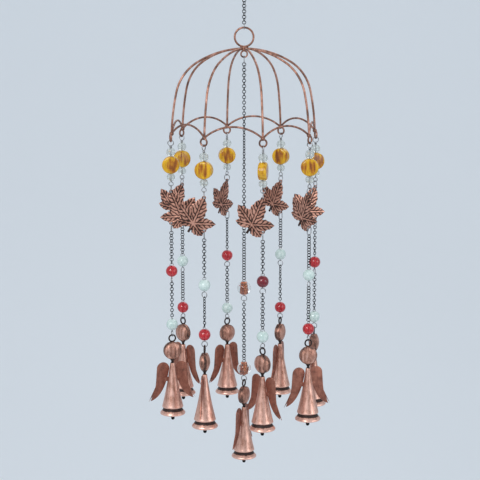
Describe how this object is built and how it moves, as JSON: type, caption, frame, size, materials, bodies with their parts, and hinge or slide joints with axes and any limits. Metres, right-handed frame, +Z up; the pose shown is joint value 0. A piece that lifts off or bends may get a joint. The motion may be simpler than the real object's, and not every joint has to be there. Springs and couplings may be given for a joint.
{
  "type": "garden wind chime",
  "caption": "Garden wind chime: a wire dome on a hook and chain carries strands of glass beads, cast leaves, curb chain and winged figure bells with clappers.",
  "frame": {"origin": "the point inside the top of the hook where it bears on its hanger", "axes": "+Z up along the chime's vertical axis, -Y towards the front, +X to the viewer's right"},
  "size_m": [0.1871, 0.1836, 0.5235],
  "materials": {
    "blackened_steel": "satin",
    "silver_wire": "polished",
    "antique_copper": "satin",
    "dark_copper": "satin",
    "bell_copper": "satin",
    "clapper_iron": "satin",
    "red_glass": "gloss",
    "mint_glass": "gloss",
    "amber_glass": "gloss",
    "clear_glass": "gloss",
    "amber_core": "gloss"
  },
  "bodies": {
    "hook": {"hook": "blackened_steel"},
    "top_chain": {"top_chain": "blackened_steel"},
    "swivel_ring": {"swivel_ring": "silver_wire"},
    "dome": {"top_ring": "dark_copper", "crown_knot": "antique_copper", "ribs": "antique_copper", "scallops": "dark_copper", "rim_eyes": "dark_copper"},
    "bead_drop_1": {"bead_drop_1": "amber_glass"},
    "bead_drop_2": {"bead_drop_2": "amber_glass"},
    "bead_drop_3": {"bead_drop_3": "amber_glass"},
    "bead_drop_4": {"bead_drop_4": "amber_glass"},
    "bead_drop_5": {"bead_drop_5": "amber_glass"},
    "bead_drop_6": {"bead_drop_6": "amber_glass"},
    "bead_drop_7": {"bead_drop_7": "amber_glass"},
    "bead_drop_8": {"bead_drop_8": "amber_glass"},
    "leaf_1": {"leaf_1": "antique_copper"},
    "leaf_2": {"leaf_2": "antique_copper"},
    "leaf_3": {"leaf_3": "antique_copper"},
    "leaf_4": {"leaf_4": "antique_copper"},
    "leaf_5": {"leaf_5": "antique_copper"},
    "leaf_6": {"leaf_6": "antique_copper"},
    "leaf_7": {"leaf_7": "antique_copper"},
    "leaf_8": {"leaf_8": "antique_copper"},
    "upper_chain_1": {"upper_chain_1": "red_glass"},
    "upper_chain_2": {"upper_chain_2": "mint_glass"},
    "upper_chain_3": {"upper_chain_3": "red_glass"},
    "upper_chain_4": {"upper_chain_4": "mint_glass"},
    "upper_chain_5": {"upper_chain_5": "red_glass"},
    "upper_chain_6": {"upper_chain_6": "mint_glass"},
    "upper_chain_7": {"upper_chain_7": "red_glass"},
    "upper_chain_8": {"upper_chain_8": "mint_glass"},
    "lower_chain_1": {"lower_chain_1": "mint_glass"},
    "lower_chain_2": {"lower_chain_2": "red_glass"},
    "lower_chain_3": {"lower_chain_3": "mint_glass"},
    "lower_chain_4": {"lower_chain_4": "red_glass"},
    "lower_chain_5": {"lower_chain_5": "mint_glass"},
    "lower_chain_6": {"lower_chain_6": "red_glass"},
    "lower_chain_7": {"lower_chain_7": "mint_glass"},
    "lower_chain_8": {"lower_chain_8": "red_glass"},
    "bell_1": {"bell_1": "bell_copper"},
    "bell_2": {"bell_2": "bell_copper"},
    "bell_3": {"bell_3": "bell_copper"},
    "bell_4": {"bell_4": "bell_copper"},
    "bell_5": {"bell_5": "bell_copper"},
    "bell_6": {"bell_6": "bell_copper"},
    "bell_7": {"bell_7": "bell_copper"},
    "bell_8": {"bell_8": "bell_copper"},
    "clapper_1": {"clapper_1": "clapper_iron"},
    "clapper_2": {"clapper_2": "clapper_iron"},
    "clapper_3": {"clapper_3": "clapper_iron"},
    "clapper_4": {"clapper_4": "clapper_iron"},
    "clapper_5": {"clapper_5": "clapper_iron"},
    "clapper_6": {"clapper_6": "clapper_iron"},
    "clapper_7": {"clapper_7": "clapper_iron"},
    "clapper_8": {"clapper_8": "clapper_iron"},
    "middle_upper_chain": {"middle_upper_chain": "clear_glass"},
    "middle_lower_chain": {"middle_lower_chain": "clear_glass"},
    "middle_bell": {"middle_bell": "bell_copper"},
    "middle_clapper": {"middle_clapper": "clapper_iron"}
  },
  "joints": [
    {"name": "top_chain_swing", "type": "hinge", "parent": "hook", "child": "top_chain", "pos_m": [0, 0, -0.0281], "axis": [1, 0, 0], "range_deg": [-20, 20]},
    {"name": "dome_turn", "type": "hinge", "parent": "top_chain", "child": "swivel_ring", "pos_m": [0, 0, -0.06227], "axis": [0, 0, 1], "range_deg": [-30, 30]},
    {"name": "dome_swing", "type": "hinge", "parent": "swivel_ring", "child": "dome", "pos_m": [0, 0, -0.06699], "axis": [0, 1, 0], "range_deg": [-20, 20]},
    {"name": "strand_swing_1", "type": "hinge", "parent": "dome", "child": "bead_drop_1", "pos_m": [0.01818, -0.074, -0.17873], "axis": [-0.9711, -0.2385, 0], "range_deg": [-3, 18]},
    {"name": "leaf_swing_1", "type": "hinge", "parent": "bead_drop_1", "child": "leaf_1", "pos_m": [0.01818, -0.074, -0.22402], "axis": [-1, 0, 0], "range_deg": [-1, 6.5]},
    {"name": "upper_chain_swing_1", "type": "hinge", "parent": "leaf_1", "child": "upper_chain_1", "pos_m": [0.01818, -0.074, -0.27106], "axis": [0, -1, 0], "range_deg": [-1, 7]},
    {"name": "lower_chain_swing_1", "type": "hinge", "parent": "upper_chain_1", "child": "lower_chain_1", "pos_m": [0.01818, -0.074, -0.32401], "axis": [-0.9711, -0.2385, 0], "range_deg": [-2, 12]},
    {"name": "bell_swing_1", "type": "hinge", "parent": "lower_chain_1", "child": "bell_1", "pos_m": [0.01818, -0.074, -0.37971], "axis": [-0.7193, -0.6947, 0], "range_deg": [-3, 12]},
    {"name": "clapper_swing_1", "type": "hinge", "parent": "bell_1", "child": "clapper_1", "pos_m": [0.01818, -0.074, -0.4234], "axis": [0.6947, -0.7193, 0], "range_deg": [-12, 12]},
    {"name": "strand_swing_2", "type": "hinge", "parent": "dome", "child": "bead_drop_2", "pos_m": [0.06518, -0.03947, -0.17873], "axis": [-0.518, -0.8554, 0], "range_deg": [-3, 18]},
    {"name": "leaf_swing_2", "type": "hinge", "parent": "bead_drop_2", "child": "leaf_2", "pos_m": [0.06518, -0.03947, -0.22402], "axis": [0.6428, -0.766, 0], "range_deg": [-1, 6.5]},
    {"name": "upper_chain_swing_2", "type": "hinge", "parent": "leaf_2", "child": "upper_chain_2", "pos_m": [0.06518, -0.03947, -0.27106], "axis": [-0.766, -0.6428, 0], "range_deg": [-1, 7]},
    {"name": "lower_chain_swing_2", "type": "hinge", "parent": "upper_chain_2", "child": "lower_chain_2", "pos_m": [0.06518, -0.03947, -0.32401], "axis": [-0.518, -0.8554, 0], "range_deg": [-2, 12]},
    {"name": "bell_swing_2", "type": "hinge", "parent": "lower_chain_2", "child": "bell_2", "pos_m": [0.06518, -0.03947, -0.37971], "axis": [0.3256, -0.9455, 0], "range_deg": [-3, 12]},
    {"name": "clapper_swing_2", "type": "hinge", "parent": "bell_2", "child": "clapper_2", "pos_m": [0.06518, -0.03947, -0.4234], "axis": [0.9455, 0.3256, 0], "range_deg": [-12, 12]},
    {"name": "strand_swing_3", "type": "hinge", "parent": "dome", "child": "bead_drop_3", "pos_m": [0.074, 0.01818, -0.17873], "axis": [0.2385, -0.9711, 0], "range_deg": [-3, 18]},
    {"name": "leaf_swing_3", "type": "hinge", "parent": "bead_drop_3", "child": "leaf_3", "pos_m": [0.074, 0.01818, -0.22402], "axis": [-0.9063, -0.4226, 0], "range_deg": [-1, 6.5]},
    {"name": "upper_chain_swing_3", "type": "hinge", "parent": "leaf_3", "child": "upper_chain_3", "pos_m": [0.074, 0.01818, -0.27106], "axis": [0.4226, -0.9063, 0], "range_deg": [-1, 7]},
    {"name": "lower_chain_swing_3", "type": "hinge", "parent": "upper_chain_3", "child": "lower_chain_3", "pos_m": [0.074, 0.01818, -0.32126], "axis": [0.2385, -0.9711, 0], "range_deg": [-2, 12]},
    {"name": "bell_swing_3", "type": "hinge", "parent": "lower_chain_3", "child": "bell_3", "pos_m": [0.074, 0.01818, -0.37971], "axis": [0.9945, -0.1045, 0], "range_deg": [-3, 12]},
    {"name": "clapper_swing_3", "type": "hinge", "parent": "bell_3", "child": "clapper_3", "pos_m": [0.074, 0.01818, -0.4234], "axis": [0.1045, 0.9945, 0], "range_deg": [-12, 12]},
    {"name": "strand_swing_4", "type": "hinge", "parent": "dome", "child": "bead_drop_4", "pos_m": [0.03947, 0.06518, -0.17873], "axis": [0.8554, -0.518, 0], "range_deg": [-3, 18]},
    {"name": "leaf_swing_4", "type": "hinge", "parent": "bead_drop_4", "child": "leaf_4", "pos_m": [0.03947, 0.06518, -0.22402], "axis": [0.766, -0.6428, 0], "range_deg": [-1, 6.5]},
    {"name": "upper_chain_swing_4", "type": "hinge", "parent": "leaf_4", "child": "upper_chain_4", "pos_m": [0.03947, 0.06518, -0.27106], "axis": [0.6428, 0.766, 0], "range_deg": [-1, 7]},
    {"name": "lower_chain_swing_4", "type": "hinge", "parent": "upper_chain_4", "child": "lower_chain_4", "pos_m": [0.03947, 0.06518, -0.32126], "axis": [0.8554, -0.518, 0], "range_deg": [-2, 12]},
    {"name": "bell_swing_4", "type": "hinge", "parent": "lower_chain_4", "child": "bell_4", "pos_m": [0.03947, 0.06518, -0.37971], "axis": [0.9272, -0.3746, 0], "range_deg": [-3, 12]},
    {"name": "clapper_swing_4", "type": "hinge", "parent": "bell_4", "child": "clapper_4", "pos_m": [0.03947, 0.06518, -0.4234], "axis": [0.3746, 0.9272, 0], "range_deg": [-12, 12]},
    {"name": "strand_swing_5", "type": "hinge", "parent": "dome", "child": "bead_drop_5", "pos_m": [-0.01818, 0.074, -0.17873], "axis": [0.9711, 0.2385, 0], "range_deg": [-3, 18]},
    {"name": "leaf_swing_5", "type": "hinge", "parent": "bead_drop_5", "child": "leaf_5", "pos_m": [-0.01818, 0.074, -0.22402], "axis": [0.5736, 0.8192, 0], "range_deg": [-1, 6.5]},
    {"name": "upper_chain_swing_5", "type": "hinge", "parent": "leaf_5", "child": "upper_chain_5", "pos_m": [-0.01818, 0.074, -0.27106], "axis": [0.8192, -0.5736, 0], "range_deg": [-1, 7]},
    {"name": "lower_chain_swing_5", "type": "hinge", "parent": "upper_chain_5", "child": "lower_chain_5", "pos_m": [-0.01818, 0.074, -0.32401], "axis": [0.9711, 0.2385, 0], "range_deg": [-2, 12]},
    {"name": "bell_swing_5", "type": "hinge", "parent": "lower_chain_5", "child": "bell_5", "pos_m": [-0.01818, 0.074, -0.38246], "axis": [0.6691, -0.7431, 0], "range_deg": [-3, 12]},
    {"name": "clapper_swing_5", "type": "hinge", "parent": "bell_5", "child": "clapper_5", "pos_m": [-0.01818, 0.074, -0.42615], "axis": [0.7431, 0.6691, 0], "range_deg": [-12, 12]},
    {"name": "strand_swing_6", "type": "hinge", "parent": "dome", "child": "bead_drop_6", "pos_m": [-0.06518, 0.03947, -0.17873], "axis": [0.518, 0.8554, 0], "range_deg": [-3, 18]},
    {"name": "leaf_swing_6", "type": "hinge", "parent": "bead_drop_6", "child": "leaf_6", "pos_m": [-0.06518, 0.03947, -0.22402], "axis": [0.9397, -0.342, 0], "range_deg": [-1, 6.5]},
    {"name": "upper_chain_swing_6", "type": "hinge", "parent": "leaf_6", "child": "upper_chain_6", "pos_m": [-0.06518, 0.03947, -0.27106], "axis": [0.342, 0.9397, 0], "range_deg": [-1, 7]},
    {"name": "lower_chain_swing_6", "type": "hinge", "parent": "upper_chain_6", "child": "lower_chain_6", "pos_m": [-0.06518, 0.03947, -0.32401], "axis": [0.518, 0.8554, 0], "range_deg": [-2, 12]},
    {"name": "bell_swing_6", "type": "hinge", "parent": "lower_chain_6", "child": "bell_6", "pos_m": [-0.06518, 0.03947, -0.37421], "axis": [0.7071, 0.7071, 0], "range_deg": [-3, 12]},
    {"name": "clapper_swing_6", "type": "hinge", "parent": "bell_6", "child": "clapper_6", "pos_m": [-0.06518, 0.03947, -0.4179], "axis": [0.7071, -0.7071, 0], "range_deg": [-12, 12]},
    {"name": "strand_swing_7", "type": "hinge", "parent": "dome", "child": "bead_drop_7", "pos_m": [-0.074, -0.01818, -0.17873], "axis": [-0.2385, 0.9711, 0], "range_deg": [-3, 18]},
    {"name": "leaf_swing_7", "type": "hinge", "parent": "bead_drop_7", "child": "leaf_7", "pos_m": [-0.074, -0.01818, -0.22402], "axis": [-0.9976, 0.0698, 0], "range_deg": [-1, 6.5]},
    {"name": "upper_chain_swing_7", "type": "hinge", "parent": "leaf_7", "child": "upper_chain_7", "pos_m": [-0.074, -0.01818, -0.27106], "axis": [0.0698, 0.9976, 0], "range_deg": [-1, 7]},
    {"name": "lower_chain_swing_7", "type": "hinge", "parent": "upper_chain_7", "child": "lower_chain_7", "pos_m": [-0.074, -0.01818, -0.32401], "axis": [-0.2385, 0.9711, 0], "range_deg": [-2, 12]},
    {"name": "bell_swing_7", "type": "hinge", "parent": "lower_chain_7", "child": "bell_7", "pos_m": [-0.074, -0.01818, -0.37971], "axis": [-0.3256, 0.9455, 0], "range_deg": [-3, 12]},
    {"name": "clapper_swing_7", "type": "hinge", "parent": "bell_7", "child": "clapper_7", "pos_m": [-0.074, -0.01818, -0.4234], "axis": [0.9455, 0.3256, 0], "range_deg": [-12, 12]},
    {"name": "strand_swing_8", "type": "hinge", "parent": "dome", "child": "bead_drop_8", "pos_m": [-0.03947, -0.06518, -0.17873], "axis": [-0.8554, 0.518, 0], "range_deg": [-3, 18]},
    {"name": "leaf_swing_8", "type": "hinge", "parent": "bead_drop_8", "child": "leaf_8", "pos_m": [-0.03947, -0.06518, -0.22402], "axis": [-0.9962, -0.0872, 0], "range_deg": [-1, 6.5]},
    {"name": "upper_chain_swing_8", "type": "hinge", "parent": "leaf_8", "child": "upper_chain_8", "pos_m": [-0.03947, -0.06518, -0.27106], "axis": [-0.0872, 0.9962, 0], "range_deg": [-1, 7]},
    {"name": "lower_chain_swing_8", "type": "hinge", "parent": "upper_chain_8", "child": "lower_chain_8", "pos_m": [-0.03947, -0.06518, -0.32951], "axis": [-0.8554, 0.518, 0], "range_deg": [-2, 12]},
    {"name": "bell_swing_8", "type": "hinge", "parent": "lower_chain_8", "child": "bell_8", "pos_m": [-0.03947, -0.06518, -0.37971], "axis": [-0.9962, 0.0872, 0], "range_deg": [-3, 12]},
    {"name": "clapper_swing_8", "type": "hinge", "parent": "bell_8", "child": "clapper_8", "pos_m": [-0.03947, -0.06518, -0.4234], "axis": [0.0872, 0.9962, 0], "range_deg": [-12, 12]},
    {"name": "middle_swing", "type": "hinge", "parent": "dome", "child": "middle_upper_chain", "pos_m": [0, 0, -0.09518], "axis": [1, 0, 0], "range_deg": [-3, 3]},
    {"name": "middle_lower_swing", "type": "hinge", "parent": "middle_upper_chain", "child": "middle_lower_chain", "pos_m": [0, 0, -0.34657], "axis": [1, 0, 0], "range_deg": [-4, 4]},
    {"name": "middle_bell_swing", "type": "hinge", "parent": "middle_lower_chain", "child": "middle_bell", "pos_m": [0, 0, -0.43217], "axis": [-0.9135, 0.4067, 0], "range_deg": [-5, 5]},
    {"name": "middle_clapper_swing", "type": "hinge", "parent": "middle_bell", "child": "middle_clapper", "pos_m": [0, 0, -0.47586], "axis": [0.4067, 0.9135, 0], "range_deg": [-12, 12]}
  ]
}
